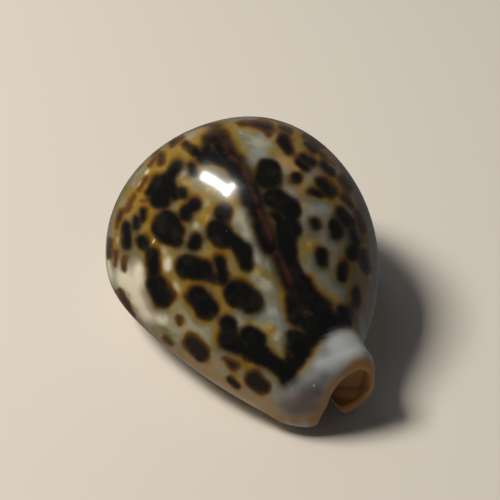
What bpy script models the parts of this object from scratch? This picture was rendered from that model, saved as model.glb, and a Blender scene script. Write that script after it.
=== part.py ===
# Cowrie shell, modelled in metres: one hollow, egg-shaped shell lying on its flat base.
# +X is the narrow front end with the siphon notch, -Y the outer lip's side,
# +Y the inner lip's side and +Z the domed back. The origin is the middle of the
# base. Forms are worked out in millimetres and scaled as the vertices are made.

import math

import bmesh
import bpy
import numpy as np

MM = 0.001
LENGTH = 80.0
WIDTH = 62.5
HEIGHT = 46.8

# Outer ribs: place along the shell, half width on the outer lip's side, half width
# on the inner lip's side, crest height, and the height of the widest line each side
RIB_PLACE = (-38.8, -37.4, -34.5, -28.0, -18.0, -6.0, 6.0, 17.0, 25.0, 30.0, 34.0, 38.0)
RIB_OUTER_LIP = (9.5, 13.8, 19.2, 26.3, 31.7, 32.2, 29.0, 24.5, 20.0, 16.8, 14.0, 11.0)
RIB_INNER_LIP = (8.5, 13.3, 18.6, 24.8, 29.4, 30.7, 28.4, 22.5, 15.7, 11.8, 11.4, 13.2)
RIB_CREST = (12.0, 19.0, 28.0, 39.3, 46.0, 46.6, 43.6, 37.4, 30.4, 25.3, 21.4, 18.0)
RIB_CREST_ASIDE = (1.5, 1.2, 0.6, 0.0, 0.0, 0.0, 0.0, 0.0, 0.8, 2.4, 4.4, 6.2)
RIB_OUTER_MARGIN = (6.4, 7.8, 9.8, 12.4, 14.6, 15.2, 14.7, 13.2, 11.4, 9.9, 8.4, 7.0)
RIB_INNER_MARGIN = (6.4, 8.0, 10.2, 12.8, 15.0, 15.8, 15.2, 13.8, 12.4, 11.8, 12.0, 12.6)
DORSUM_POWER = 2.1      # squareness of a rib above its widest line
BASE_POWER = 2.5        # and below it
FRONT_BASE_POWER = 2.6  # the inner lip's lobe is fuller, between these places
FRONT_BASE = (24.0, 36.0)
BASE_LOW = -4.0         # place along the shell where the base is lowest
BASE_SINK = 0.30        # how much of the rounded base the flat spots take off
BASE_RISE = 1.5         # rise of the base this far from its lowest place
BASE_REACH = 38.0
BASE_BEND = 2.6

# The aperture: a narrow slit along the whole base, swinging aside at the rear
SLIT_MIDDLE = 0.2
SLIT_HALF = 1.85
SLIT_HALF_FRONT = 2.5
SLIT_HALF_REAR = 1.55
SLIT_REAR_SWING = 6.0
SLIT_SWING = (2.0, -44.0)
SLIT_SWING_POWER = 1.3
LIP_ROUND = 3.4
LIP_ROUND_END = 2.0
LIP_DEPTH = 3.9
LIP_DEPTH_FRONT = 3.8
LIP_DEPTH_REAR = 3.2
FRONT_SLIT = (28.0, 36.0)     # the slit widens between these
REAR_SLIT = (-24.0, -36.0)    # and narrows between these
FRONT_LIPS = (20.0, 36.0)     # the lips grow sharper between these

# Teeth: grooves cut between the crests, fading out over the base and into the hollow
TEETH_FROM = -33.0
TEETH_TO = 33.0
OUTER_TEETH = 23
INNER_TEETH = 21
TOOTH_DEPTH = 0.95
TOOTH_REACH = 6.5
TEETH_FADE = 5.0              # the first and last teeth grow over this length
TOOTH_ROUND = 0.8
TOOTH_FULL = 0.25             # share of a tooth's reach that is cut to full depth

# The hollow: wall over the back, wall at the margins, floor over the lips, and the
# rounded pillar that rises on the inner lip's side
WALL = 2.1
MARGIN_WALL = 3.8
FLOOR = 7.4
PILLAR = 6.5
PILLAR_PLACE = 0.45
PILLAR_SIZE = 0.36
HOLLOW_RISE = 1.0             # the hollow's widest line lies this much above the margin
HOLLOW_POWER = 2.6
HOLLOW_FRONT = (20.0, 32.0)   # the hollow narrows to the front canal between these
HOLLOW_REAR = (-29.0, -36.5)  # and to the rear canal between these

# Canals, as leaning ellipses: middle sideways, middle height, half width, half height, lean
FRONT_THROAT = (0.6, 6.6, 1.9, 4.2, 8.0)
FRONT_MOUTH = (4.8, 9.1, 4.2, 6.4, 20.0)
REAR_THROAT = (5.2, 6.0, 1.9, 3.0, 0.0)
REAR_MOUTH = (4.6, 5.6, 2.5, 3.6, -8.0)
FRONT_FLARE = (30.0, 35.0)    # a throat widens to its mouth between these
REAR_FLARE = (-34.0, -38.0)
CANAL_GAP = 0.30              # half of an ellipse's open part, in radians
CANAL_JOIN = 0.2              # share of a canal's line that bends over to the slit's edge

# Ends: where the ribs stop, how far the rims reach, and for the outer lip, the roof and
# the inner lip the angle at which the rim turns away from the last rib
FRONT_END = 34.4
FRONT_REACH = 39.2
FRONT_START = (38.0, 45.0, 8.0)
REAR_END = -38.5
REAR_REACH = -40.2
REAR_START = (68.0, 74.0, 68.0)
RIDGE = 2.4                   # from a canal's edge to the ridge of its rim
RIDGE_MOST = 0.60             # and the most of the wall's thickness this may be
RIM_FROM = 10.0               # the ribs give way to the rim over this length
EDGE_THICK = 0.3              # at the slit's edges the rims reach less far, down to this
EDGE_SOFT = 2.6
INNER_SIDE = (-1.0, 7.0)      # the inner lip's values set in between these
UPPER_SIDE = (0.35, 0.9)      # and the roof's between these shares of the height
SPIRE = (-38.2, 3.0, 15.5)    # the covered spire's dimple above the rear canal
SPIRE_SIZE = (4.0, 4.5, 4.0)
SPIRE_DIMPLE = 1.5

# Fineness of the mesh: ribs, and points along each part of a rib
RIBS = 150
REAR_RIBS = 14
REAR_SPAN = 4.5
RIM_STEPS = 5
LIP_POINTS = 6
BASE_POINTS = 8
DORSUM_POINTS = 12
FACE_SHARE = 0.255            # share of faces kept where the surface is plain
CUTTER_DEPTH = 4.0

SHELL_COLOUR = (0.60, 0.53, 0.41)
SHELL_ROUGHNESS = 0.18


def smooth(low, high, value):
    """Smooth step from 0 at low to 1 at high."""
    share = np.clip((value - low) / (high - low), 0.0, 1.0)
    return share * share * (3.0 - 2.0 * share)


def spline_bends(values):
    """Second slopes of the natural cubic spline through one value for each rib place."""
    x = np.array(RIB_PLACE)
    y = np.array(values)
    step = np.diff(x)
    rise = np.diff(y) / step
    system = np.eye(len(x))
    wanted = np.zeros(len(x))
    for i in range(1, len(x) - 1):
        system[i, i - 1] = step[i - 1]
        system[i, i] = 2.0 * (step[i - 1] + step[i])
        system[i, i + 1] = step[i]
        wanted[i] = 6.0 * (rise[i] - rise[i - 1])
    return np.linalg.solve(system, wanted)


def along(values, place):
    """Smooth curve through one value for each rib place."""
    x = RIB_PLACE
    bends = spline_bends(values)
    i = int(np.clip(np.searchsorted(x, place) - 1, 0, len(x) - 2))
    step = x[i + 1] - x[i]
    before = (x[i + 1] - place) / step
    after = (place - x[i]) / step
    return (
        before * values[i]
        + after * values[i + 1]
        + ((before ** 3 - before) * bends[i] + (after ** 3 - after) * bends[i + 1]) * step * step / 6.0
    )


def blend(first, second, share):
    return tuple(a + (b - a) * share for a, b in zip(first, second))


def slit(place):
    """Middle and half width of the slit, and the round and depth of its lips."""
    front = smooth(*FRONT_SLIT, place)
    rear = smooth(*REAR_SLIT, place)
    end = max(smooth(*FRONT_LIPS, place), rear)
    middle = SLIT_MIDDLE + SLIT_REAR_SWING * smooth(*SLIT_SWING, place) ** SLIT_SWING_POWER
    half = SLIT_HALF + (SLIT_HALF_FRONT - SLIT_HALF) * front + (SLIT_HALF_REAR - SLIT_HALF) * rear
    lip = LIP_ROUND + (LIP_ROUND_END - LIP_ROUND) * end
    depth = LIP_DEPTH + (LIP_DEPTH_FRONT - LIP_DEPTH) * front + (LIP_DEPTH_REAR - LIP_DEPTH) * rear
    return middle, half, lip, depth


def side_form(place, side):
    """Half width, height of the widest line and squareness of the base on one side."""
    if side < 0:
        return along(RIB_OUTER_LIP, place), along(RIB_OUTER_MARGIN, place), BASE_POWER
    power = BASE_POWER + (FRONT_BASE_POWER - BASE_POWER) * smooth(*FRONT_BASE, place)
    return along(RIB_INNER_LIP, place), along(RIB_INNER_MARGIN, place), power


def base_height(place):
    """Height of the rounded base before the flat spots are taken off it."""
    return BASE_RISE * abs((place - BASE_LOW) / BASE_REACH) ** BASE_BEND - BASE_SINK


def low_at(place, side, start):
    """Height of the base where the lip's round meets it."""
    reach, margin, power = side_form(place, side)
    inset = min(abs(start) / reach, 1.0)
    return margin - (margin - base_height(place)) * (1.0 - inset ** power) ** (1.0 / power)


def half_rib(place, side, start):
    """Base and back of one side of a rib, from the lip's round out and up to the crest."""
    reach, margin, power = side_form(place, side)
    crest = along(RIB_CREST, place)
    aside = along(RIB_CREST_ASIDE, place)
    low = base_height(place)
    inset = abs(start) / reach
    angle_start = math.acos(min(inset ** (power / 2.0), 1.0))
    rows = []
    for i in range(BASE_POINTS):
        angle = angle_start * (1.0 - (i + 1) / BASE_POINTS)
        rows.append((
            side * reach * math.cos(angle) ** (2.0 / power),
            margin - (margin - low) * math.sin(angle) ** (2.0 / power),
        ))
    for i in range(DORSUM_POINTS):
        angle = 0.5 * math.pi * (i + 1) / DORSUM_POINTS
        out = max(math.cos(angle), 0.0) ** (2.0 / DORSUM_POWER)
        rows.append((
            side * reach * out + aside * (1.0 - out),
            margin + (crest - margin) * math.sin(angle) ** (2.0 / DORSUM_POWER),
        ))
    return rows


def outer_rib(place):
    """Outer line of one rib: lip, base, margin and back of one side, then of the other."""
    middle, half, lip, depth = slit(place)
    sides = []
    for side in (-1.0, 1.0):
        start = middle + side * (half + lip)
        low = low_at(place, side, start)
        turn = []
        for i in range(LIP_POINTS + 1):
            angle = 0.5 * math.pi * i / LIP_POINTS
            turn.append((
                start - side * lip * math.cos(angle),
                depth + (low - depth) * math.sin(angle),
            ))
        sides.append(turn + half_rib(place, side, start))
    return np.array(sides[0] + sides[1][-2::-1])


def hollow_rib(place):
    """Inner line of one rib where the shell is fully hollow, in the same order."""
    middle, half, lip, depth = slit(place)
    crest = along(RIB_CREST, place) - WALL
    sides = []
    for side in (-1.0, 1.0):
        reach, margin, _ = side_form(place, side)
        reach -= MARGIN_WALL
        floor = min(FLOOR, margin)
        margin += HOLLOW_RISE
        start = middle + side * (half + lip)
        rows = []
        for i in range(LIP_POINTS + 1):
            angle = 0.5 * math.pi * i / LIP_POINTS
            rows.append((
                start - side * lip * math.cos(angle),
                depth + (floor - depth) * math.sin(angle),
            ))
        for i in range(BASE_POINTS):
            angle = 0.5 * math.pi * (1.0 - (i + 1) / BASE_POINTS)
            out = math.cos(angle) ** (2.0 / HOLLOW_POWER)
            rise = 1.0 - math.sin(angle) ** (2.0 / HOLLOW_POWER)
            height = floor + (margin - floor) * rise
            if side > 0:
                away = (out - PILLAR_PLACE) / PILLAR_SIZE
                height += PILLAR * math.exp(-away * away) * (1.0 - rise)
            rows.append((start + (side * reach - start) * out, height))
        for i in range(DORSUM_POINTS):
            angle = 0.5 * math.pi * (i + 1) / DORSUM_POINTS
            rows.append((
                side * reach * max(math.cos(angle), 0.0) ** (2.0 / DORSUM_POWER),
                margin + (crest - margin) * math.sin(angle) ** (2.0 / DORSUM_POWER),
            ))
        sides.append(rows)
    return np.array(sides[0] + sides[1][-2::-1])


def canal_rib(place, ellipse):
    """Inner line of one rib in a canal: up from one edge of the slit, round and down."""
    middle, half, _, depth = slit(place)
    aside, height, half_width, half_height, lean = ellipse
    lean = math.radians(lean)
    count = 2 * (LIP_POINTS + BASE_POINTS + DORSUM_POINTS) + 1
    rows = []
    for i in range(count):
        angle = -0.5 * math.pi - CANAL_GAP - 2.0 * (math.pi - CANAL_GAP) * i / (count - 1)
        across = half_width * math.cos(angle)
        up = half_height * math.sin(angle)
        rows.append((
            aside + across * math.cos(lean) + up * math.sin(lean),
            height - across * math.sin(lean) + up * math.cos(lean),
        ))
    rows = np.array(rows)
    from_first = np.linspace(0.0, 1.0, count)
    for edge, end, share in (
        (middle - half, 0, from_first),
        (middle + half, -1, from_first[::-1]),
    ):
        pull = (1.0 - smooth(0.0, CANAL_JOIN, share))[:, None]
        rows += (np.array((edge, depth)) - rows[end]) * pull
    return rows


def inner_rib(place):
    """Inner line of any rib: the hollow, or a canal at either end of it."""
    if place > 0.0:
        narrow = smooth(*HOLLOW_FRONT, place)
        ellipse = blend(FRONT_THROAT, FRONT_MOUTH, smooth(*FRONT_FLARE, place))
    else:
        narrow = smooth(*HOLLOW_REAR, place)
        ellipse = blend(REAR_THROAT, REAR_MOUTH, smooth(*REAR_FLARE, place))
    return hollow_rib(place) * (1.0 - narrow) + canal_rib(place, ellipse) * narrow


def around(rib, values):
    """A value for each point of a rib, from those of the outer lip, roof and inner lip."""
    outer_lip, roof, inner_lip = values
    height = rib[:, 1] / rib[:, 1].max()
    inner_side = smooth(*INNER_SIDE, rib[:, 0])
    upper = smooth(*UPPER_SIDE, height)
    side = outer_lip + (inner_lip - outer_lip) * inner_side
    return side + (roof - side) * upper * (1.0 - 0.5 * inner_side)


def rim_form(outer, inner, start):
    """Start angle, ridge's share of the way out, swell and firmness of each point of a rim."""
    thick = np.linalg.norm(outer - inner, axis=1) + EDGE_THICK
    share = np.minimum(RIDGE / thick, RIDGE_MOST)
    first = np.radians(around(outer, start))
    swell = thick * (1.0 - share) * (1.0 - np.sin(first)) / np.cos(first)
    firm = 1.0 - np.exp(-thick / EDGE_SOFT)
    return first, share, swell, firm


def end_push(end, reach, start):
    """How far each point of an end's last rib moves along the shell to make room for the rim."""
    _, _, swell, firm = rim_form(outer_rib(end), inner_rib(end), start)
    return (reach - end - math.copysign(1.0, reach) * swell) * firm


def rim_rings(outside, inside, direction, start):
    """Rings that round one end over, from its last rib to the rim's ridge."""
    outer = outside[:, 1:]
    inner = inside[:, 1:]
    first, share, swell, _ = (row[:, None] for row in rim_form(outer, inner, start))
    middle = inner + (outer - inner) * share
    rings = []
    for step in range(1, RIM_STEPS + 1):
        turn = step / RIM_STEPS
        angle = first + (0.5 * math.pi - first) * turn
        rise = (np.sin(angle) - np.sin(first)) / (1.0 - np.sin(first))
        inside_rise = math.sin(0.5 * math.pi * turn)
        outside_line = middle + (outer - middle) * np.cos(angle) / np.cos(first)
        inside_line = middle + (inner - middle) * math.cos(0.5 * math.pi * turn)
        rings.append((
            np.hstack((outside[:, :1] + direction * swell * rise, outside_line)),
            np.hstack((outside[:, :1] + direction * swell * inside_rise, inside_line)),
        ))
    return rings


def tooth_cut(place, distance, teeth):
    """Depth of the groove between two teeth at a place, this far from the slit's edge."""
    pitch = (TEETH_TO - TEETH_FROM) / teeth
    wave = 0.5 - 0.5 * np.cos(2.0 * math.pi * (place - TEETH_FROM) / pitch)
    first = smooth(TEETH_FROM, TEETH_FROM + TEETH_FADE, place)
    last = smooth(TEETH_TO, TEETH_TO - TEETH_FADE, place)
    reach = 1.0 - smooth(TOOTH_FULL, 1.0, distance / TOOTH_REACH)
    return TOOTH_DEPTH * wave ** TOOTH_ROUND * first * last * reach


def cut_teeth(rib, place):
    """Move the points near the slit into the lips, between the teeth."""
    cut = rib.copy()
    count = len(rib)
    for order, teeth in ((range(count), OUTER_TEETH), (range(count - 1, -1, -1), INNER_TEETH)):
        order = list(order)[: LIP_POINTS + BASE_POINTS]
        distance = 0.0
        for i, k in enumerate(order):
            if i:
                distance += float(np.hypot(*(rib[k] - rib[order[i - 1]])))
            before = rib[order[max(i - 1, 0)]]
            after = rib[order[i + 1]] if i + 1 < len(order) else rib[k]
            tangent = after - before
            normal = np.array((-tangent[1], tangent[0])) / max(np.hypot(*tangent), 1e-9)
            if teeth == INNER_TEETH:
                normal = -normal
            cut[k] = rib[k] - normal * tooth_cut(place, distance, teeth)
    return cut


def dent_spire(points):
    """Sink the small dimple of the covered spire above the rear canal."""
    away = (points - np.array(SPIRE)) / np.array(SPIRE_SIZE)
    points[:, 0] += SPIRE_DIMPLE * np.exp(-np.sum(away * away, axis=1))


def rib_places():
    """Ribs, closer together at the rear, where the shell rounds in quickly."""
    turn = np.linspace(0.0, 0.5 * math.pi, REAR_RIBS, endpoint=False)
    rear = REAR_END + REAR_SPAN * (1.0 - np.cos(turn))
    return np.concatenate((rear, np.linspace(REAR_END + REAR_SPAN, FRONT_END, RIBS)))


def shell_rings():
    """Closed rings of points from the rear rim's ridge to the front rim's."""
    rings = []
    front_push = end_push(FRONT_END, FRONT_REACH, FRONT_START)
    rear_push = end_push(REAR_END, REAR_REACH, REAR_START)
    for place in rib_places():
        outer = outer_rib(place)
        inner = inner_rib(place)
        push = front_push * smooth(FRONT_END - RIM_FROM, FRONT_END, place)
        push += rear_push * smooth(REAR_END + RIM_FROM, REAR_END, place)
        outer_cut = cut_teeth(outer, place)
        inner[0] = outer_cut[0]
        inner[-1] = outer_cut[-1]
        rings.append((
            np.column_stack((place + push, outer_cut)),
            np.column_stack((place + push, inner)),
        ))
    rear = rim_rings(*rings[0], -1.0, REAR_START)
    front = rim_rings(*rings[-1], 1.0, FRONT_START)
    rings = rear[::-1] + rings + front
    for outside, _ in rings:
        dent_spire(outside)
    return rings


def sized(rings):
    """The rings fitted to the shell's real size and centred."""
    points = np.vstack([np.vstack(pair) for pair in rings])
    low, high = points.min(axis=0), points.max(axis=0)
    for pair in rings:
        for line in pair:
            line[:, 0] = (line[:, 0] - 0.5 * (low[0] + high[0])) * LENGTH / (high[0] - low[0])
            line[:, 1] = (line[:, 1] - 0.5 * (low[1] + high[1])) * WIDTH / (high[1] - low[1])
            line[:, 2] = line[:, 2] * HEIGHT / high[2]
    return rings


def shell_mesh():
    rings = sized(shell_rings())
    mesh = bmesh.new()
    loops = []
    for number, (outside, inside) in enumerate(rings):
        outer = [mesh.verts.new(point * MM) for point in outside]
        seam = number in (0, len(rings) - 1)
        inner = outer[1:-1] if seam else [mesh.verts.new(point * MM) for point in inside[1:-1]]
        loops.append(outer + inner[::-1])
    count = len(loops[0])
    for first, second in zip(loops, loops[1:]):
        for k in range(count):
            after = (k + 1) % count
            mesh.faces.new((first[k], first[after], second[after], second[k]))
    bmesh.ops.triangulate(mesh, faces=mesh.faces)
    bmesh.ops.recalc_face_normals(mesh, faces=mesh.faces)
    return mesh


def shell_material():
    material = bpy.data.materials.new("shell")
    material.use_nodes = True
    principled = material.node_tree.nodes["Principled BSDF"]
    principled.inputs["Base Color"].default_value = (*SHELL_COLOUR, 1.0)
    principled.inputs["Roughness"].default_value = SHELL_ROUGHNESS
    principled.inputs["Metallic"].default_value = 0.0
    return material


def make_floor_cutter():
    """Block under the base that takes two small flat spots off it."""
    mesh = bpy.data.meshes.new("floor_cutter")
    block = bmesh.new()
    bmesh.ops.create_cube(block, size=1.0)
    size = (2.0 * LENGTH * MM, 2.0 * WIDTH * MM, CUTTER_DEPTH * MM)
    bmesh.ops.scale(block, vec=size, verts=block.verts)
    bmesh.ops.translate(block, vec=(0.0, 0.0, -0.5 * CUTTER_DEPTH * MM), verts=block.verts)
    block.to_mesh(mesh)
    block.free()
    cutter = bpy.data.objects.new("floor_cutter", mesh)
    bpy.context.scene.collection.objects.link(cutter)
    cutter.hide_render = True
    cutter.display_type = "WIRE"
    return cutter


def make_shell():
    built = shell_mesh()
    mesh = bpy.data.meshes.new("shell")
    built.to_mesh(mesh)
    built.free()
    mesh.materials.append(shell_material())
    shell = bpy.data.objects.new("shell", mesh)
    bpy.context.scene.collection.objects.link(shell)
    lighten = shell.modifiers.new("lighten", "DECIMATE")
    lighten.decimate_type = "COLLAPSE"
    lighten.ratio = FACE_SHARE
    flatten = shell.modifiers.new("flatten", "BOOLEAN")
    flatten.operation = "DIFFERENCE"
    flatten.solver = "EXACT"
    flatten.object = make_floor_cutter()
    mesh.shade_smooth()


for old in list(bpy.data.objects):
    bpy.data.objects.remove(old, do_unlink=True)
make_shell()
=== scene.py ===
import math

import bpy
import numpy as np
from mathutils import Matrix, Vector
from mathutils.bvhtree import BVHTree


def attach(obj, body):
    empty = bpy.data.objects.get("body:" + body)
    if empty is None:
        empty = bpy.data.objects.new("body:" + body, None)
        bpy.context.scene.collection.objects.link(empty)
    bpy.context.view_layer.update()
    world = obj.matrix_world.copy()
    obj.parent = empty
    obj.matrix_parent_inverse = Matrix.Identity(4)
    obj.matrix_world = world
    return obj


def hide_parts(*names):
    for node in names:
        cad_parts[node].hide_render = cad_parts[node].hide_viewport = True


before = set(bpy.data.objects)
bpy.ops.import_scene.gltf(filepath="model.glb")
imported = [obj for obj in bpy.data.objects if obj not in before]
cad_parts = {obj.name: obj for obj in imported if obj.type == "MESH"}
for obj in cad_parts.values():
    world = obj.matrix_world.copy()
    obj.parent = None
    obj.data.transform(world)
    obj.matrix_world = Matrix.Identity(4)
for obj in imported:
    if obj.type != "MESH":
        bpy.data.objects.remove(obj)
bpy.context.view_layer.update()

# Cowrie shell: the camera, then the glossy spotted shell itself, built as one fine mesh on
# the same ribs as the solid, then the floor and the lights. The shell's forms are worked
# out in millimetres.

MM = 0.001

# The photograph's camera: it looks at TARGET, which lies at TARGET_PIXEL in the frame
FRAME_SIZE = 500.0
SENSOR = 36.0
VIEW_AZIMUTH = 65.2
VIEW_ELEVATION = 42.0
VIEW_DISTANCE = 400.0
FOCAL_PIXELS = 1703.8
TARGET = np.array((0.0, 0.0, 15.0))
TARGET_PIXEL = np.array((254.2, 273.3))


def direction(azimuth, elevation):
    """Unit vector from the object towards a place round it, angles in degrees."""
    a = math.radians(azimuth)
    e = math.radians(elevation)
    return np.array((math.sin(a) * math.cos(e), -math.cos(a) * math.cos(e), math.sin(e)))


VIEW_BACK = direction(VIEW_AZIMUTH, VIEW_ELEVATION)
VIEW_RIGHT = np.cross(-VIEW_BACK, (0.0, 0.0, 1.0))
VIEW_RIGHT /= np.linalg.norm(VIEW_RIGHT)
VIEW_UP = np.cross(VIEW_RIGHT, -VIEW_BACK)
VIEW_PLACE = TARGET + VIEW_BACK * VIEW_DISTANCE


def add_object(name, data):
    thing = bpy.data.objects.new(name, data)
    bpy.context.scene.collection.objects.link(thing)
    return thing


def make_camera():
    camera = add_object("camera", bpy.data.cameras.new("camera"))
    camera.location = Vector(VIEW_PLACE * MM)
    camera.rotation_euler = Vector(-VIEW_BACK).to_track_quat("-Z", "Y").to_euler()
    camera.data.sensor_width = SENSOR
    camera.data.lens = SENSOR * FOCAL_PIXELS / FRAME_SIZE
    middle = 0.5 * FRAME_SIZE
    camera.data.shift_x = -(TARGET_PIXEL[0] - middle) / FRAME_SIZE
    camera.data.shift_y = (TARGET_PIXEL[1] - middle) / FRAME_SIZE
    bpy.context.scene.camera = camera


make_camera()


def to_pixels(points):
    """Where points in millimetres lie in the photograph."""
    away = points - VIEW_PLACE
    depth = away @ -VIEW_BACK
    across = TARGET_PIXEL[0] + FOCAL_PIXELS * (away @ VIEW_RIGHT) / depth
    down = TARGET_PIXEL[1] - FOCAL_PIXELS * (away @ VIEW_UP) / depth
    return np.column_stack((across, down))


def ray_through(pixel):
    """Direction from the camera through a place in the photograph."""
    across = (pixel[0] - TARGET_PIXEL[0]) / FOCAL_PIXELS
    up = (TARGET_PIXEL[1] - pixel[1]) / FOCAL_PIXELS
    ray = -VIEW_BACK + VIEW_RIGHT * across + VIEW_UP * up
    return ray / np.linalg.norm(ray)


LENGTH = 80.0
WIDTH = 62.5
HEIGHT = 46.8

# Outer ribs: place along the shell, half width on the outer lip's side, half width
# on the inner lip's side, crest height, and the height of the widest line each side
RIB_PLACE = (-38.8, -37.4, -34.5, -28.0, -18.0, -6.0, 6.0, 17.0, 25.0, 30.0, 34.0, 38.0)
RIB_OUTER_LIP = (9.5, 13.8, 19.2, 26.3, 31.7, 32.2, 29.0, 24.5, 20.0, 16.8, 14.0, 11.0)
RIB_INNER_LIP = (8.5, 13.3, 18.6, 24.8, 29.4, 30.7, 28.4, 22.5, 15.7, 11.8, 11.4, 13.2)
RIB_CREST = (12.0, 19.0, 28.0, 39.3, 46.0, 46.6, 43.6, 37.4, 30.4, 25.3, 21.4, 18.0)
RIB_CREST_ASIDE = (1.5, 1.2, 0.6, 0.0, 0.0, 0.0, 0.0, 0.0, 0.8, 2.4, 4.4, 6.2)
RIB_OUTER_MARGIN = (6.4, 7.8, 9.8, 12.4, 14.6, 15.2, 14.7, 13.2, 11.4, 9.9, 8.4, 7.0)
RIB_INNER_MARGIN = (6.4, 8.0, 10.2, 12.8, 15.0, 15.8, 15.2, 13.8, 12.4, 11.8, 12.0, 12.6)
DORSUM_POWER = 2.1  # squareness of a rib above its widest line
BASE_POWER = 2.5  # and below it
FRONT_BASE_POWER = 2.6  # the inner lip's lobe is fuller, between these places
FRONT_BASE = (24.0, 36.0)
BASE_LOW = -4.0  # place along the shell where the base is lowest
BASE_SINK = 0.30  # how much of the rounded base the flat spots take off
BASE_RISE = 1.5  # rise of the base this far from its lowest place
BASE_REACH = 38.0
BASE_BEND = 2.6

# The aperture: a narrow slit along the whole base, swinging aside at the rear
SLIT_MIDDLE = 0.2
SLIT_HALF = 1.85
SLIT_HALF_FRONT = 2.5
SLIT_HALF_REAR = 1.55
SLIT_REAR_SWING = 6.0
SLIT_SWING = (2.0, -44.0)
SLIT_SWING_POWER = 1.3
LIP_ROUND = 3.4
LIP_ROUND_END = 2.0
LIP_DEPTH = 3.9
LIP_DEPTH_FRONT = 3.8
LIP_DEPTH_REAR = 3.2
FRONT_SLIT = (28.0, 36.0)  # the slit widens between these
REAR_SLIT = (-24.0, -36.0)  # and narrows between these
FRONT_LIPS = (20.0, 36.0)  # the lips grow sharper between these

# Teeth: grooves cut between the crests, fading out over the base and into the hollow
TEETH_FROM = -33.0
TEETH_TO = 33.0
OUTER_TEETH = 23
INNER_TEETH = 21
TOOTH_DEPTH = 0.95
TOOTH_REACH = 6.5
TEETH_FADE = 5.0  # the first and last teeth grow over this length
TOOTH_ROUND = 0.8
TOOTH_FULL = 0.25  # share of a tooth's reach that is cut to full depth

# The hollow: wall over the back, wall at the margins, floor over the lips, and the
# rounded pillar that rises on the inner lip's side
WALL = 2.1
MARGIN_WALL = 3.8
FLOOR = 7.4
PILLAR = 6.5
PILLAR_PLACE = 0.45
PILLAR_SIZE = 0.36
HOLLOW_RISE = 1.0  # the hollow's widest line lies this much above the margin
HOLLOW_POWER = 2.6
HOLLOW_FRONT = (20.0, 32.0)  # the hollow narrows to the front canal between these
HOLLOW_REAR = (-29.0, -36.5)  # and to the rear canal between these

# Canals, as leaning ellipses: middle sideways, middle height, half width, half height, lean
FRONT_THROAT = (0.6, 6.6, 1.9, 4.2, 8.0)
FRONT_MOUTH = (4.8, 9.1, 4.2, 6.4, 20.0)
REAR_THROAT = (5.2, 6.0, 1.9, 3.0, 0.0)
REAR_MOUTH = (4.6, 5.6, 2.5, 3.6, -8.0)
FRONT_FLARE = (30.0, 35.0)  # a throat widens to its mouth between these
REAR_FLARE = (-34.0, -38.0)
CANAL_GAP = 0.30  # half of an ellipse's open part, in radians
CANAL_JOIN = 0.2  # share of a canal's line that bends over to the slit's edge

# Ends: where the ribs stop, how far the rims reach, and for the outer lip, the roof and
# the inner lip the angle at which the rim turns away from the last rib
FRONT_END = 34.4
FRONT_REACH = 39.2
FRONT_START = (38.0, 45.0, 8.0)
REAR_END = -38.5
REAR_REACH = -40.2
REAR_START = (68.0, 74.0, 68.0)
RIDGE = 2.4  # from a canal's edge to the ridge of its rim
RIDGE_MOST = 0.60  # and the most of the wall's thickness this may be
RIM_FROM = 10.0  # the ribs give way to the rim over this length
EDGE_THICK = 0.3  # at the slit's edges the rims reach less far, down to this
EDGE_SOFT = 2.6
INNER_SIDE = (-1.0, 7.0)  # the inner lip's values set in between these
UPPER_SIDE = (0.35, 0.9)  # and the roof's between these shares of the height
SPIRE = (-38.2, 3.0, 15.5)  # the covered spire's dimple above the rear canal
SPIRE_SIZE = (4.0, 4.5, 4.0)
SPIRE_DIMPLE = 1.5

# Fineness of the mesh: ribs, and points along each part of a rib
RIBS = 120
REAR_RIBS = 14
REAR_SPAN = 4.5
RIM_STEPS = 28
LIP_POINTS = 14
BASE_POINTS = 36
DORSUM_POINTS = 72


def smooth(low, high, value):
    """Smooth step from 0 at low to 1 at high."""
    share = np.clip((value - low) / (high - low), 0.0, 1.0)
    return share * share * (3.0 - 2.0 * share)


def spline_bends(values):
    """Second slopes of the natural cubic spline through one value for each rib place."""
    x = np.array(RIB_PLACE)
    y = np.array(values)
    step = np.diff(x)
    rise = np.diff(y) / step
    system = np.eye(len(x))
    wanted = np.zeros(len(x))
    for i in range(1, len(x) - 1):
        system[i, i - 1] = step[i - 1]
        system[i, i] = 2.0 * (step[i - 1] + step[i])
        system[i, i + 1] = step[i]
        wanted[i] = 6.0 * (rise[i] - rise[i - 1])
    return np.linalg.solve(system, wanted)


def along(values, place):
    """Smooth curve through one value for each rib place."""
    x = RIB_PLACE
    bends = spline_bends(values)
    i = int(np.clip(np.searchsorted(x, place) - 1, 0, len(x) - 2))
    step = x[i + 1] - x[i]
    before = (x[i + 1] - place) / step
    after = (place - x[i]) / step
    return (
        before * values[i]
        + after * values[i + 1]
        + ((before ** 3 - before) * bends[i] + (after ** 3 - after) * bends[i + 1]) * step * step / 6.0
    )


def blend(first, second, share):
    return tuple(a + (b - a) * share for a, b in zip(first, second))


def slit(place):
    """Middle and half width of the slit, and the round and depth of its lips."""
    front = smooth(*FRONT_SLIT, place)
    rear = smooth(*REAR_SLIT, place)
    end = max(smooth(*FRONT_LIPS, place), rear)
    middle = SLIT_MIDDLE + SLIT_REAR_SWING * smooth(*SLIT_SWING, place) ** SLIT_SWING_POWER
    half = SLIT_HALF + (SLIT_HALF_FRONT - SLIT_HALF) * front + (SLIT_HALF_REAR - SLIT_HALF) * rear
    lip = LIP_ROUND + (LIP_ROUND_END - LIP_ROUND) * end
    depth = LIP_DEPTH + (LIP_DEPTH_FRONT - LIP_DEPTH) * front + (LIP_DEPTH_REAR - LIP_DEPTH) * rear
    return middle, half, lip, depth


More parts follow.
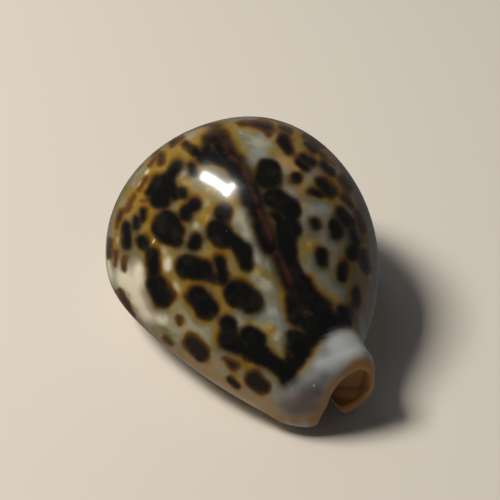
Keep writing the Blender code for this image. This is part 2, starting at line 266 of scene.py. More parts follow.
def side_form(place, side):
    """Half width, height of the widest line and squareness of the base on one side."""
    if side < 0:
        return along(RIB_OUTER_LIP, place), along(RIB_OUTER_MARGIN, place), BASE_POWER
    power = BASE_POWER + (FRONT_BASE_POWER - BASE_POWER) * smooth(*FRONT_BASE, place)
    return along(RIB_INNER_LIP, place), along(RIB_INNER_MARGIN, place), power


def base_height(place):
    """Height of the rounded base before the flat spots are taken off it."""
    return BASE_RISE * abs((place - BASE_LOW) / BASE_REACH) ** BASE_BEND - BASE_SINK


def low_at(place, side, start):
    """Height of the base where the lip's round meets it."""
    reach, margin, power = side_form(place, side)
    inset = min(abs(start) / reach, 1.0)
    return margin - (margin - base_height(place)) * (1.0 - inset ** power) ** (1.0 / power)


def back_turn(reach, margin, crest, aside):
    """Back of one side of a rib, from its widest point up to the crest."""
    rows = []
    for i in range(DORSUM_POINTS):
        angle = 0.5 * math.pi * (i + 1) / DORSUM_POINTS
        out = max(math.cos(angle), 0.0) ** (2.0 / DORSUM_POWER)
        up = math.sin(angle) ** (2.0 / DORSUM_POWER)
        rows.append((reach * out + aside * (1.0 - out), margin + (crest - margin) * up))
    return rows


def half_rib(place, side, start):
    """Base and back of one side of a rib, from the lip's round out and up to the crest."""
    reach, margin, power = side_form(place, side)
    crest = along(RIB_CREST, place)
    low = base_height(place)
    inset = abs(start) / reach
    angle_start = math.acos(min(inset ** (power / 2.0), 1.0))
    rows = []
    for i in range(BASE_POINTS):
        angle = angle_start * (1.0 - (i + 1) / BASE_POINTS)
        rows.append((
            side * reach * math.cos(angle) ** (2.0 / power),
            margin - (margin - low) * math.sin(angle) ** (2.0 / power),
        ))
    return rows + back_turn(side * reach, margin, crest, along(RIB_CREST_ASIDE, place))


def lip_turn(start, lip, depth, end):
    """Round of one lip, from the slit's edge at depth to the height at its end."""
    rows = []
    for i in range(LIP_POINTS + 1):
        angle = 0.5 * math.pi * i / LIP_POINTS
        rows.append((start - lip * math.cos(angle), depth + (end - depth) * math.sin(angle)))
    return rows


def outer_rib(place):
    """Outer line of one rib: lip, base, margin and back of one side, then of the other."""
    middle, half, lip, depth = slit(place)
    sides = []
    for side in (-1.0, 1.0):
        start = middle + side * (half + lip)
        turn = lip_turn(start, side * lip, depth, low_at(place, side, start))
        sides.append(turn + half_rib(place, side, start))
    return np.array(sides[0] + sides[1][-2::-1])


def hollow_rib(place):
    """Inner line of one rib where the shell is fully hollow, in the same order."""
    middle, half, lip, depth = slit(place)
    crest = along(RIB_CREST, place) - WALL
    sides = []
    for side in (-1.0, 1.0):
        reach, margin, _ = side_form(place, side)
        reach -= MARGIN_WALL
        floor = min(FLOOR, margin)
        margin += HOLLOW_RISE
        start = middle + side * (half + lip)
        rows = lip_turn(start, side * lip, depth, floor)
        for i in range(BASE_POINTS):
            angle = 0.5 * math.pi * (1.0 - (i + 1) / BASE_POINTS)
            out = math.cos(angle) ** (2.0 / HOLLOW_POWER)
            rise = 1.0 - math.sin(angle) ** (2.0 / HOLLOW_POWER)
            height = floor + (margin - floor) * rise
            if side > 0:
                away = (out - PILLAR_PLACE) / PILLAR_SIZE
                height += PILLAR * math.exp(-away * away) * (1.0 - rise)
            rows.append((start + (side * reach - start) * out, height))
        sides.append(rows + back_turn(side * reach, margin, crest, 0.0))
    return np.array(sides[0] + sides[1][-2::-1])


def canal_rib(place, ellipse):
    """Inner line of one rib in a canal: up from one edge of the slit, round and down."""
    middle, half, _, depth = slit(place)
    aside, height, half_width, half_height, lean = ellipse
    lean = math.radians(lean)
    count = 2 * (LIP_POINTS + BASE_POINTS + DORSUM_POINTS) + 1
    rows = []
    for i in range(count):
        angle = -0.5 * math.pi - CANAL_GAP - 2.0 * (math.pi - CANAL_GAP) * i / (count - 1)
        across = half_width * math.cos(angle)
        up = half_height * math.sin(angle)
        rows.append((
            aside + across * math.cos(lean) + up * math.sin(lean),
            height - across * math.sin(lean) + up * math.cos(lean),
        ))
    rows = np.array(rows)
    from_first = np.linspace(0.0, 1.0, count)
    for edge, end, share in (
        (middle - half, 0, from_first),
        (middle + half, -1, from_first[::-1]),
    ):
        pull = (1.0 - smooth(0.0, CANAL_JOIN, share))[:, None]
        rows += (np.array((edge, depth)) - rows[end]) * pull
    return rows


def inner_rib(place):
    """Inner line of any rib: the hollow, or a canal at either end of it."""
    if place > 0.0:
        narrow = smooth(*HOLLOW_FRONT, place)
        ellipse = blend(FRONT_THROAT, FRONT_MOUTH, smooth(*FRONT_FLARE, place))
    else:
        narrow = smooth(*HOLLOW_REAR, place)
        ellipse = blend(REAR_THROAT, REAR_MOUTH, smooth(*REAR_FLARE, place))
    return hollow_rib(place) * (1.0 - narrow) + canal_rib(place, ellipse) * narrow


def around(rib, values):
    """A value for each point of a rib, from those of the outer lip, roof and inner lip."""
    outer_lip, roof, inner_lip = values
    height = rib[:, 1] / rib[:, 1].max()
    inner_side = smooth(*INNER_SIDE, rib[:, 0])
    upper = smooth(*UPPER_SIDE, height)
    side = outer_lip + (inner_lip - outer_lip) * inner_side
    return side + (roof - side) * upper * (1.0 - 0.5 * inner_side)


def rim_form(outer, inner, start):
    """Start angle, ridge's share of the way out, swell and firmness of each point of a rim."""
    thick = np.linalg.norm(outer - inner, axis=1) + EDGE_THICK
    share = np.minimum(RIDGE / thick, RIDGE_MOST)
    first = np.radians(around(outer, start))
    swell = thick * (1.0 - share) * (1.0 - np.sin(first)) / np.cos(first)
    firm = 1.0 - np.exp(-thick / EDGE_SOFT)
    return first, share, swell, firm


def end_push(end, reach, start):
    """How far each point of an end's last rib moves along the shell to make room for the rim."""
    _, _, swell, firm = rim_form(outer_rib(end), inner_rib(end), start)
    return (reach - end - math.copysign(1.0, reach) * swell) * firm


def rim_rings(outside, inside, direction, start):
    """Rings that round one end over, from its last rib to the rim's ridge."""
    outer = outside[:, 1:]
    inner = inside[:, 1:]
    first, share, swell, _ = (row[:, None] for row in rim_form(outer, inner, start))
    middle = inner + (outer - inner) * share
    rings = []
    for step in range(1, RIM_STEPS + 1):
        turn = step / RIM_STEPS
        angle = first + (0.5 * math.pi - first) * turn
        rise = (np.sin(angle) - np.sin(first)) / (1.0 - np.sin(first))
        inside_rise = math.sin(0.5 * math.pi * turn)
        outside_line = middle + (outer - middle) * np.cos(angle) / np.cos(first)
        inside_line = middle + (inner - middle) * math.cos(0.5 * math.pi * turn)
        rings.append((
            np.hstack((outside[:, :1] + direction * swell * rise, outside_line)),
            np.hstack((outside[:, :1] + direction * swell * inside_rise, inside_line)),
        ))
    return rings


def tooth_cut(place, distance, teeth):
    """Depth of the groove between two teeth at a place, this far from the slit's edge."""
    pitch = (TEETH_TO - TEETH_FROM) / teeth
    wave = 0.5 - 0.5 * np.cos(2.0 * math.pi * (place - TEETH_FROM) / pitch)
    first = smooth(TEETH_FROM, TEETH_FROM + TEETH_FADE, place)
    last = smooth(TEETH_TO, TEETH_TO - TEETH_FADE, place)
    reach = 1.0 - smooth(TOOTH_FULL, 1.0, distance / TOOTH_REACH)
    return TOOTH_DEPTH * wave ** TOOTH_ROUND * first * last * reach


def cut_teeth(rib, place):
    """Move the points near the slit into the lips, between the teeth."""
    cut = rib.copy()
    count = len(rib)
    for order, teeth in ((range(count), OUTER_TEETH), (range(count - 1, -1, -1), INNER_TEETH)):
        order = list(order)[: LIP_POINTS + BASE_POINTS]
        distance = 0.0
        for i, k in enumerate(order):
            if i:
                distance += float(np.hypot(*(rib[k] - rib[order[i - 1]])))
            before = rib[order[max(i - 1, 0)]]
            after = rib[order[i + 1]] if i + 1 < len(order) else rib[k]
            tangent = after - before
            normal = np.array((-tangent[1], tangent[0])) / max(np.hypot(*tangent), 1e-9)
            if teeth == INNER_TEETH:
                normal = -normal
            cut[k] = rib[k] - normal * tooth_cut(place, distance, teeth)
    return cut


def dent_spire(points):
    """Sink the small dimple of the covered spire above the rear canal."""
    away = (points - np.array(SPIRE)) / np.array(SPIRE_SIZE)
    points[:, 0] += SPIRE_DIMPLE * np.exp(-np.sum(away * away, axis=1))


def rib_places():
    """Ribs, closer together at the rear, where the shell rounds in quickly."""
    turn = np.linspace(0.0, 0.5 * math.pi, REAR_RIBS, endpoint=False)
    rear = REAR_END + REAR_SPAN * (1.0 - np.cos(turn))
    return np.concatenate((rear, np.linspace(REAR_END + REAR_SPAN, FRONT_END, RIBS)))


def shell_rings():
    """Closed rings of points from the rear rim's ridge to the front rim's."""
    rings = []
    front_push = end_push(FRONT_END, FRONT_REACH, FRONT_START)
    rear_push = end_push(REAR_END, REAR_REACH, REAR_START)
    for place in rib_places():
        outer = outer_rib(place)
        inner = inner_rib(place)
        push = front_push * smooth(FRONT_END - RIM_FROM, FRONT_END, place)
        push += rear_push * smooth(REAR_END + RIM_FROM, REAR_END, place)
        outer_cut = cut_teeth(outer, place)
        inner[0] = outer_cut[0]
        inner[-1] = outer_cut[-1]
        rings.append((
            np.column_stack((place + push, outer_cut)),
            np.column_stack((place + push, inner)),
        ))
    rear = rim_rings(*rings[0], -1.0, REAR_START)
    front = rim_rings(*rings[-1], 1.0, FRONT_START)
    rings = rear[::-1] + rings + front
    for outside, _ in rings:
        dent_spire(outside)
    return rings


def sized(rings):
    """The rings fitted to the shell's real size and centred."""
    points = np.vstack([np.vstack(pair) for pair in rings])
    low, high = points.min(axis=0), points.max(axis=0)
    low[2] = -high[2]  # heights are measured from the floor
    for pair in rings:
        for line in pair:
            line -= 0.5 * (low + high)
            line *= np.array((LENGTH, WIDTH, 2.0 * HEIGHT)) / (high - low)
    return rings


# Spots as read off the photograph: the two ends of each spot's middle line and its
# half width, in pixels. A round spot has both ends close together.
BLACK_SPOTS = (
    (178, 165, 168, 180, 4.5), (164, 186, 160, 198, 11), (172, 190, 174, 196, 4.6),
    (155, 180, 149, 193, 3.8), (182, 191, 183, 195, 3.6), (194, 204, 194, 205, 5.8),
    (186, 211, 186, 216, 6.5), (191, 207, 188, 211, 5), (143, 211, 143, 218, 3.6),
    (136, 219, 136, 226, 3.4), (166, 226, 170, 231, 14.5), (176, 236, 177, 241, 7),
    (141, 240, 142, 243, 5.5), (195, 240, 194, 244, 7), (153, 254, 154, 272, 5.2),
    (156, 284, 163, 299, 9.3), (188, 267, 202, 270, 12), (205, 274, 212, 277, 7),
    (199, 297, 206, 306, 11.5), (217, 231, 225, 238, 11), (233, 240, 243, 250, 7.5),
    (244, 252, 246, 265, 6.5), (220, 261, 222, 278, 6.2), (238, 294, 250, 302, 13),
    (229, 324, 231, 334, 7.5), (228, 342, 236, 344, 11), (248, 334, 256, 340, 9),
    (250, 350, 262, 354, 9.5), (270, 360, 284, 370, 8), (222, 212, 222, 214, 8),
    (203, 158, 206, 152, 6), (209, 143, 208, 149, 4), (220, 145, 232, 162, 8),
    (208, 141, 222, 138, 5), (228, 160, 236, 172, 7.5), (236, 167, 242, 180, 5),
    (268, 171, 268, 177, 12.5), (273, 198, 290, 208, 10.5), (252, 190, 260, 222, 7.5),
    (289, 222, 296, 230, 5.5), (262, 226, 270, 246, 8), (284, 230, 288, 250, 10),
    (286, 258, 292, 276, 11), (300, 285, 306, 300, 12), (312, 300, 322, 310, 10),
    (296, 300, 296, 318, 9), (310, 325, 326, 330, 11), (300, 338, 296, 350, 8.5),
    (326, 318, 344, 322, 8), (343, 312, 343, 321, 6.5), (296, 177, 296, 178, 4.8),
    (299, 162, 306, 168, 3.8), (304, 158, 311, 162, 4.5), (324, 164, 331, 172, 3.5),
    (321, 183, 331, 193, 5.5), (313, 192, 320, 195, 4.6), (284, 141, 288, 150, 4.8),
    (342, 213, 349, 223, 5.3), (352, 230, 356, 243, 4.2), (315, 221, 316, 226, 5.2),
    (335, 226, 337, 234, 5.2), (321, 254, 322, 262, 6.3), (342, 268, 342, 278, 4.8),
    (353, 250, 353, 256, 4.6), (356, 292, 357, 303, 4), (292, 335, 294, 345, 6),
    (282, 368, 290, 382, 7), (307, 144, 314, 151, 2.8), (126, 226, 127, 245, 4.4),
    (243, 178, 249, 200, 6), (212, 157, 232, 168, 5.5), (196, 153, 212, 157, 4),
    (192, 166, 194, 172, 3.2), (275, 214, 282, 226, 5.5), (303, 345, 313, 337, 8),
    (288, 262, 294, 288, 6.5), (296, 362, 303, 352, 7), (287, 374, 294, 364, 6.5),
    (290, 348, 288, 362, 4.5),
)
# Brown spots: some are the shell's own brown; near the outline they are black spots browned by painted
# reflection of a warm floor
BROWN_SPOTS = (
    (191, 342, 202, 353, 9), (253, 379, 262, 386, 9.2), (224, 358, 234, 366, 5),
    (165, 338, 171, 344, 3.2), (230, 379, 237, 386, 3.8), (322, 155, 334, 165, 2.6),
    (305, 136, 322, 146, 3), (357, 212, 362, 230, 3.6), (111, 240, 109, 256, 2.8),
    (116, 252, 115, 265, 3), (125, 258, 124, 268, 3.8), (118, 291, 133, 315, 3.6),
    (342, 177, 350, 188, 4.3), (344, 197, 351, 205, 4), (240, 124, 262, 126, 3),
    (281, 127, 290, 131, 2.6), (262, 126, 268, 134, 3), (160, 154, 160, 162, 3.6),
    (131, 200, 131, 206, 2.8), (362, 252, 366, 270, 4.5), (140, 201, 150, 200, 1.6),
    (185, 143, 193, 150, 3.5), (179, 319, 180, 323, 2.6), (150, 166, 157, 152, 2.4),
    (128, 210, 134, 196, 3), (116, 228, 121, 211, 2.6), (139, 190, 146, 178, 2.4),
    (172, 143, 183, 137, 2.6), (257, 125, 269, 127, 4.2),
)
# Thin white scratches and small white specks, some of them painted glints
SCRATCHES_AND_GLINTS = (
    (154, 236, 154, 241, 0.5), (154, 241, 151, 247, 0.5), (205, 220, 205, 220, 0.8),
    (151, 290, 151, 290, 0.6), (240, 133, 240, 134, 0.9), (314, 385, 314, 386, 1.1),
    (292, 389, 292, 390, 0.8), (226, 231, 226, 234, 0.4),
)
# Soft patches of colour: place and reach in pixels. The last three kinds lie on the front end: the
# mouth's orange rim with painted glow and painted reflection, the outer lip's brown lobe with painted
# shade, and painted shadows.
PATCHES = {
    "white": (
        (163, 248, 6), (167, 264, 8), (176, 288, 8), (171, 300, 8), (141, 184, 5), (147, 172, 4),
        (118, 240, 4), (106, 245, 12), (108, 268, 18), (125, 285, 22), (142, 275, 14), (142, 305, 20),
        (160, 314, 12),
    ),
    # Pale ground darkened by painted shade, where less light falls than on the lower left
    "pale_with_painted_shade": (
        (178, 322, 20), (196, 334, 12), (186, 303, 9), (240, 216, 10), (248, 232, 7), (225, 256, 7),
        (256, 255, 10), (266, 285, 8), (272, 312, 6), (276, 335, 7), (205, 202, 7), (196, 225, 5),
        (300, 208, 6), (262, 142, 11), (172, 262, 7), (180, 276, 7), (214, 288, 6), (226, 305, 8),
        (212, 340, 8), (184, 175, 6), (244, 318, 8), (190, 312, 12), (205, 322, 9), (205, 232, 5),
        (157, 227, 4),
    ),
    "yellow": (
        (178, 256, 10), (183, 288, 8), (150, 215, 14), (210, 256, 8), (213, 162, 7), (226, 315, 8),
        (309, 247, 4), (303, 207, 6), (190, 180, 10), (160, 172, 10), (222, 325, 8), (205, 350, 10),
        (335, 296, 7), (145, 232, 10), (270, 328, 8), (250, 322, 9), (235, 200, 7), (207, 218, 10),
        (180, 206, 8), (129, 232, 8), (170, 180, 8), (210, 190, 7), (140, 195, 10), (150, 245, 5),
        (255, 272, 6), (296, 152, 8), (240, 126, 9), (200, 156, 6), (124, 215, 8),
    ),
    "warm": (
        (120, 195, 22), (132, 172, 22), (148, 155, 22), (168, 140, 20), (192, 128, 18), (220, 120, 14),
        (150, 200, 26), (180, 200, 24), (175, 175, 20), (200, 225, 22), (140, 225, 18), (180, 255, 18),
        (215, 255, 16), (270, 122, 16), (300, 135, 16), (325, 155, 14), (345, 185, 14), (360, 220, 12),
    ),
    "blue": (
        (262, 150, 12), (139, 254, 5), (186, 303, 6), (320, 205, 11), (326, 222, 10), (335, 280, 12),
        (322, 280, 10), (345, 295, 9), (228, 258, 6), (260, 322, 9), (338, 195, 9), (300, 190, 8),
        (305, 180, 8), (250, 240, 7), (200, 176, 8), (330, 250, 9), (334, 260, 9), (238, 268, 6),
    ),
    # Mostly painted reflection of a warm floor: a sheen along the top left and a warm band along the
    # lower outline
    "tan_and_reflection": (
        (286, 162, 9), (296, 168, 5), (200, 130, 9), (217, 121, 9), (186, 139, 7), (233, 117, 7),
        (118, 305, 7), (133, 322, 8), (150, 334, 10), (172, 350, 11), (192, 363, 12), (212, 376, 12),
        (232, 389, 12), (250, 400, 11), (268, 409, 9), (218, 364, 7), (242, 382, 7), (186, 340, 6),
    ),
    # The right margin's tan along the outline, with painted reflection of a warm floor
    "edge": (
        (310, 136, 8), (326, 148, 9), (342, 166, 9), (353, 188, 9), (361, 210, 9), (366, 235, 9),
        (368, 260, 9), (367, 284, 9), (363, 306, 9), (357, 328, 8),
    ),
    # The mouth's orange rim, with painted light where the hook glows through and painted reflection
    # along the lobe's lower edge
    "orange_rim_and_glow": (
        (350, 405, 11), (345, 410, 9), (360, 400, 9), (370, 378, 9), (371, 388, 8), (366, 362, 7),
        (356, 364, 6), (295, 421, 8), (280, 419, 8), (310, 420, 7), (265, 413, 8),
    ),
    # The outer lip's lobe: its own brown, darkened by painted shade where it faces away from the light
    "lobe_brown_and_shade": (
        (305, 402, 15), (315, 408, 11), (296, 410, 13), (284, 404, 12), (318, 394, 9),
    ),
    # Painted shadow over the front end's folds
    "painted_shade_patch": (
        (324, 352, 7), (309, 369, 8), (324, 377, 8), (313, 386, 9), (300, 379, 8), (304, 390, 8),
    ),
}
# The line along the back where the mantle's two flaps met, in pixels, and its rear end as
# places along and across the shell
MANTLE_LINE = (
    (225, 146), (229, 155), (237, 162), (243, 170), (247, 177), (250, 183), (253, 190),
    (256, 197), (258, 205), (260, 213), (264, 222), (268, 229), (272, 240), (278, 254),
    (284, 266), (290, 280),
)
MANTLE_REAR = ((-20.0, -2.0), (-28.0, 1.5), (-34.0, 4.0), (-37.5, 4.0))
MANTLE_FADE = 2.6  # how much its distance grows where it fades towards the rear
MANTLE_FADE_ALONG = (-20.0, -33.0)

PIXELS_PER_MM = FOCAL_PIXELS / VIEW_DISTANCE
SEEN_FACING = -0.3  # spots placed by pixel end a little past the outline
SPOT_MERGE = 0.22  # how softly neighbouring spots run together
SPOT_STRETCH = 1.9  # how long a spot seen aslant grows on the shell, against its seen size
FIELD_FAR = 9.0  # a distance beyond any mark's reach
FIELD_NEAR = 7.0  # how far past its own size a mark reaches over the surface
HALO_SHIFT = (0.8, -2.4)  # how far halos and hazes lie aside from their spots, in pixels
HAZE_SHIFT = (-2.2, 3.0)
HALO_SHIFT_REAR = np.array((-0.35, 0.0, 0.25))  # and in millimetres
HAZE_SHIFT_REAR = np.array((0.5, 0.0, -0.35))

# Random spots on the side that the photograph doesn't show
REAR_SEED = 11
REAR_TRIES = 2600
REAR_SPOTS = 170
REAR_FACING = -0.02  # they lie where the shell faces away from the camera
REAR_LOWEST = 4.0  # and above this height
REAR_SIZE = (0.9, 3.1)  # half width, smallest and largest
REAR_LENGTH = 1.3  # greatest length of the middle line, in half widths
REAR_TURN = 0.5  # spread of its angle to the shell's length
REAR_LOW = (0.42, 0.16)  # spots grow small and brown between these shares of the height
REAR_AWAY = (26.0, 36.0)  # and between these distances along the shell
REAR_SHRINK = 0.55  # how much smaller they grow
REAR_BROWN = 0.6  # how far towards small a spot turns brown
REAR_KEEP = (0.55, 1.0)  # share of two spots' sizes that counts in keeping them apart
REAR_GAP = 0.35  # and the least gap past it

# Margins: heights and places across between which the tints set in on each side; the tan on the outer
# lip's side is partly painted reflection of a warm floor. On the inner lip's side their height sinks
# towards the front.
LOW_OUTER = (17.0, 7.0)
LOW_OUTER_ACROSS = (1.0, -6.0)
LOW_INNER = (31.0, 22.0)
LOW_INNER_ACROSS = (4.0, 12.0)
LOW_INNER_FRONT = 8.0
LOW_INNER_SINK = 0.6
# The inner lip's side has its own ground colours, tuned to the light there: partly painted shade and
# light
RIGHT_SIDE = (-2.0, 13.0)  # places across where the ground turns darker
UNDER_FACING = (0.1, -0.55)  # upward share of the normal where the pale base sets in
UNDER_HEIGHT = (12.0, 6.0)
CANAL_ALONG = (12.0, 25.0)  # places along where the inside turns brown

# Where the spotted back ends and the whitish front end begins: places across and along
FRONT_EDGE_ACROSS = (-18.0, -14.2, -11.8, -7.6, -4.5, -1.8, -0.3, 2.7, 6.4, 9.5, 14.0)
FRONT_EDGE_ALONG = (32.5, 34.4, 36.0, 37.3, 37.2, 36.5, 35.8, 34.4, 34.0, 33.6, 34.0)
FRONT_EDGE_SOFT = (-1.3, 1.0)


def to_segments(points, first, last):
    """Distance of points from the line between first and last."""
    run = last - first
    share = np.clip((points - first) @ run / max(run @ run, 1e-9), 0.0, 1.0)
    return np.linalg.norm(points - first - share[:, None] * run, axis=1)


def joined(distances):
    """One distance from many, running smoothly together where they meet."""
    total = np.sum([np.exp(-np.minimum(d, FIELD_FAR) / SPOT_MERGE) for d in distances], axis=0)
    return -SPOT_MERGE * np.log(np.maximum(total, math.exp(-FIELD_FAR / SPOT_MERGE)))


def hit(tree, place, way):
    """Place on the shell that a ray meets, or None."""
    found = tree.ray_cast(Vector(place), Vector(way))[0]
    return None if found is None else np.array(found)


def seen_place(tree, pixel):
    """Place on the shell that shows at a pixel."""
    return hit(tree, VIEW_PLACE, ray_through(pixel))


def seen_spots(tree, spots, points, facing, shift=(0.0, 0.0)):
    """Distances from spots placed by pixel, and their middles and sizes on the shell."""
    pixels = to_pixels(points) - np.array(shift)
    distances = []
    middles = []
    for x1, y1, x2, y2, half in spots:
        place = seen_place(tree, (0.5 * (x1 + x2), 0.5 * (y1 + y2)))
        if place is None:
            continue
        size = (0.5 * math.hypot(x2 - x1, y2 - y1) + half) / PIXELS_PER_MM
        away = np.linalg.norm(points - place, axis=1)
        near = (away < SPOT_STRETCH * size + FIELD_NEAR) & (facing > SEEN_FACING)
        distance = np.full(len(points), FIELD_FAR)
        ends = np.array((x1, y1), float), np.array((x2, y2), float)
        distance[near] = (to_segments(pixels[near], *ends) - half) / PIXELS_PER_MM
        distance[near] = np.maximum(distance[near], away[near] - SPOT_STRETCH * size)
        distances.append(distance)
        middles.append((place, size))
    return distances, middles


def rear_spots(points, normals, facing, outer, middles):
    """Spots of the same kind strewn over the side that the photograph doesn't show."""
    chance = np.random.default_rng(REAR_SEED)
    free = np.where(outer & (facing < REAR_FACING) & (points[:, 2] > REAR_LOWEST))[0]
    placed = []
    taken = list(middles)
    for pick in chance.choice(free, REAR_TRIES):
        place = points[pick]
        small = max(smooth(*REAR_LOW, place[2] / HEIGHT), smooth(*REAR_AWAY, abs(place[0])))
        size = chance.uniform(*REAR_SIZE) * (1.0 - REAR_SHRINK * small)
        length = size * chance.uniform(0.0, REAR_LENGTH)
        turn = chance.normal(0.0, REAR_TURN)
        keep = chance.uniform(*REAR_KEEP)
        reach = size + 0.5 * length
        gaps = [np.linalg.norm(place - other) - (reach + far) * keep for other, far in taken]
        if min(gaps) < REAR_GAP:
            continue
        side = np.cross(normals[pick], (1.0, 0.0, 0.0))
        side /= max(np.linalg.norm(side), 1e-6)
        ahead = np.cross(side, normals[pick])
        half = (ahead * math.cos(turn) + side * math.sin(turn)) * length * 0.5
        placed.append((place - half, place + half, size, small))
        taken.append((place, reach))
        if len(placed) == REAR_SPOTS:
            break
    return placed


def rear_distances(placed, points, shift=0.0):
    """Distances from the rear side's spots: black ones, and brown ones near the margins."""
    black = []
    brown = []
    for first, last, size, small in placed:
        kind = brown if small > REAR_BROWN else black
        kind.append(to_segments(points - shift, first, last) - size)
    return black, brown


def soft_patches(tree, patches, points):
    """Weight from 0 to 1 of soft patches placed by pixel, running together."""
    clear = np.ones(len(points))
    for x, y, reach in patches:
        place = seen_place(tree, (x, y))
        if place is not None:
            away = np.linalg.norm(points - place, axis=1) * PIXELS_PER_MM / reach
            clear *= 1.0 - np.exp(-away * away)
    return 1.0 - clear


def mantle_distance(tree, points):
    """Distance from the line along the back where the mantle's two flaps met."""
    line = [hit(tree, (*rear, 2.0 * HEIGHT), (0.0, 0.0, -1.0)) for rear in MANTLE_REAR[::-1]]
    line += [seen_place(tree, pixel) for pixel in MANTLE_LINE]
    line = [place for place in line if place is not None]
    away = np.min([to_segments(points, a, b) for a, b in zip(line, line[1:])], axis=0)
    return away + MANTLE_FADE * smooth(*MANTLE_FADE_ALONG, points[:, 0])


def rim_distance(rings, points):
    """Distance from the ridge of the nearer end's rim."""
    distance = np.full(len(points), FIELD_FAR)
    for ridge, end in ((rings[0][0], -1.0), (rings[-1][0], 1.0)):
        near = np.where(points[:, 0] * end > 0.5 * LENGTH - FIELD_FAR)[0]
        away = points[near][:, None, :] - ridge[None, ::2, :]
        distance[near] = np.minimum(np.linalg.norm(away, axis=2).min(axis=1), FIELD_FAR)
    return distance


def mark_fields(tree, points, normals, outer):
    """Distances in millimetres from every kind of mark, and weights of the patches."""
    away = VIEW_PLACE - points
    facing = np.sum(normals * away, axis=1) / np.linalg.norm(away, axis=1)
    black, middles = seen_spots(tree, BLACK_SPOTS, points, facing)
    brown, more = seen_spots(tree, BROWN_SPOTS, points, facing)
    placed = rear_spots(points, normals, facing, outer, middles + more)
    rear_black, rear_brown = rear_distances(placed, points)
    fields = {
        "spot": joined(black + rear_black),
        "brown_spot": joined(brown + rear_brown),
        "scratch_and_glint": joined(seen_spots(tree, SCRATCHES_AND_GLINTS, points, facing)[0]),
        "mantle": mantle_distance(tree, points),
    }
    for name, shift, shift_rear in (
        ("halo", HALO_SHIFT, HALO_SHIFT_REAR),
        ("haze", HAZE_SHIFT, HAZE_SHIFT_REAR),
    ):
        seen = seen_spots(tree, BLACK_SPOTS, points, facing, shift)[0]
        fields[name] = joined(seen + rear_distances(placed, points, shift_rear)[0])
    for name, patches in PATCHES.items():
        fields[name] = soft_patches(tree, patches, points)
    return fields


def region_fields(rings, points, normals, outer):
    """Weights from 0 to 1 of the shell's regions, and the distance from its rims."""
    along_shell, across, height = points.T
    sink = LOW_INNER_SINK * np.maximum(along_shell - LOW_INNER_FRONT, 0.0)
    front_edge = np.interp(across, FRONT_EDGE_ACROSS, FRONT_EDGE_ALONG)
    return {
        "aside": smooth(*RIGHT_SIDE, across),
        "low": smooth(*LOW_OUTER, height) * smooth(*LOW_OUTER_ACROSS, across),
        "low_inner": smooth(*LOW_INNER, height + sink) * smooth(*LOW_INNER_ACROSS, across),
        "under": smooth(*UNDER_FACING, normals[:, 2]) * smooth(*UNDER_HEIGHT, height),
        "front": smooth(*FRONT_EDGE_SOFT, along_shell - front_edge),
        "rim": rim_distance(rings, points),
        "inside": np.where(outer, 0.0, 1.0),
        "canal": smooth(*CANAL_ALONG, along_shell),
    }


def shell_surface(rings):
    """Vertices, faces and which vertices lie on the outer surface."""
    points = []
    outer_flags = []
    loops = []
    for number, (outside, inside) in enumerate(rings):
        first = len(points)
        count = len(outside)
        points.extend(outside)
        outer_flags.extend([True] * count)
        outer = list(range(first, first + count))
        if number in (0, len(rings) - 1):
            inner = outer[1:-1]
        else:
            points.extend(inside[1:-1])
            outer_flags.extend([False] * (count - 2))
            inner = list(range(first + count, first + 2 * count - 2))
        loops.append(outer + inner[::-1])
    faces = []
    for first, second in zip(loops, loops[1:]):
        for k in range(len(first)):
            after = (k + 1) % len(first)
            faces.append((first[k], second[k], second[after], first[after]))
    points = np.array(points)
    points[:, 2] = np.maximum(points[:, 2], 0.0)
    return points, faces, np.array(outer_flags)


WHITE = (0.62, 0.57, 0.43)
# The shell's pale ground, darkened by painted shade below the white of the lower left
PALE_WITH_PAINTED_SHADE = (0.28, 0.278, 0.205)
PALE_RIGHT_WITH_PAINTED_SHADE = (0.21, 0.205, 0.155)
GREY = (0.145, 0.138, 0.09)
GREY_RIGHT = (0.155, 0.14, 0.1)
BLUE = (0.17, 0.188, 0.165)
BLUE_RIGHT = (0.19, 0.2, 0.185)
OLIVE = (0.15, 0.105, 0.01)
OLIVE_RIGHT = (0.2, 0.125, 0.024)
GOLD = (0.23, 0.13, 0.006)
YELLOW = (0.3, 0.22, 0.07)
HAZE = (0.065, 0.062, 0.05)
HALO_DEEP = (0.12, 0.043, 0.003)
EDGE_BROWN = (0.036, 0.019, 0.005)
BLACK = (0.003, 0.0028, 0.0024)
NEAR_BLACK = (0.0085, 0.0078, 0.005)
# Spots low on the sides: black browned by painted reflection of a warm floor
LOW_SPOT_REFLECTION = (0.018, 0.012, 0.008)
DARK_BROWN = (0.016, 0.01, 0.006)
BROWN = (0.072, 0.038, 0.01)
LINE_RED = (0.046, 0.014, 0.008)
# The margins' own warm tan, with painted reflection of a warm floor in it
MARGIN_TAN_AND_REFLECTION = (0.31, 0.185, 0.065)
MARGIN_BROWN = (0.11, 0.058, 0.018)
# The right margin's tan with painted reflection in it
EDGE_TAN_AND_REFLECTION = (0.18, 0.092, 0.022)
UNDER_WHITE = (0.68, 0.64, 0.54)
UNDER_CREAM = (0.56, 0.46, 0.32)
# The front end's white, greyed by painted shade
SNOUT_WHITE_WITH_PAINTED_SHADE = (0.39, 0.41, 0.41)
SNOUT_TAN = (0.27, 0.25, 0.2)
# Painted shadow on the front end's folds and hollows
PAINTED_SHADE_GREY = (0.085, 0.085, 0.085)
# The lobe's brown with painted shade in it
LOBE_BROWN_AND_SHADE = (0.12, 0.078, 0.056)
RIM_BROWN = (0.29, 0.165, 0.07)
# Orange of the rim, with painted glow through the hook
ORANGE_AND_GLOW = (0.36, 0.17, 0.04)
INSIDE = (0.42, 0.3, 0.2)
CANAL = (0.25, 0.13, 0.052)
# White of the scratches and of the painted glints
SCRATCH_AND_GLINT_WHITE = (0.75, 0.74, 0.62)

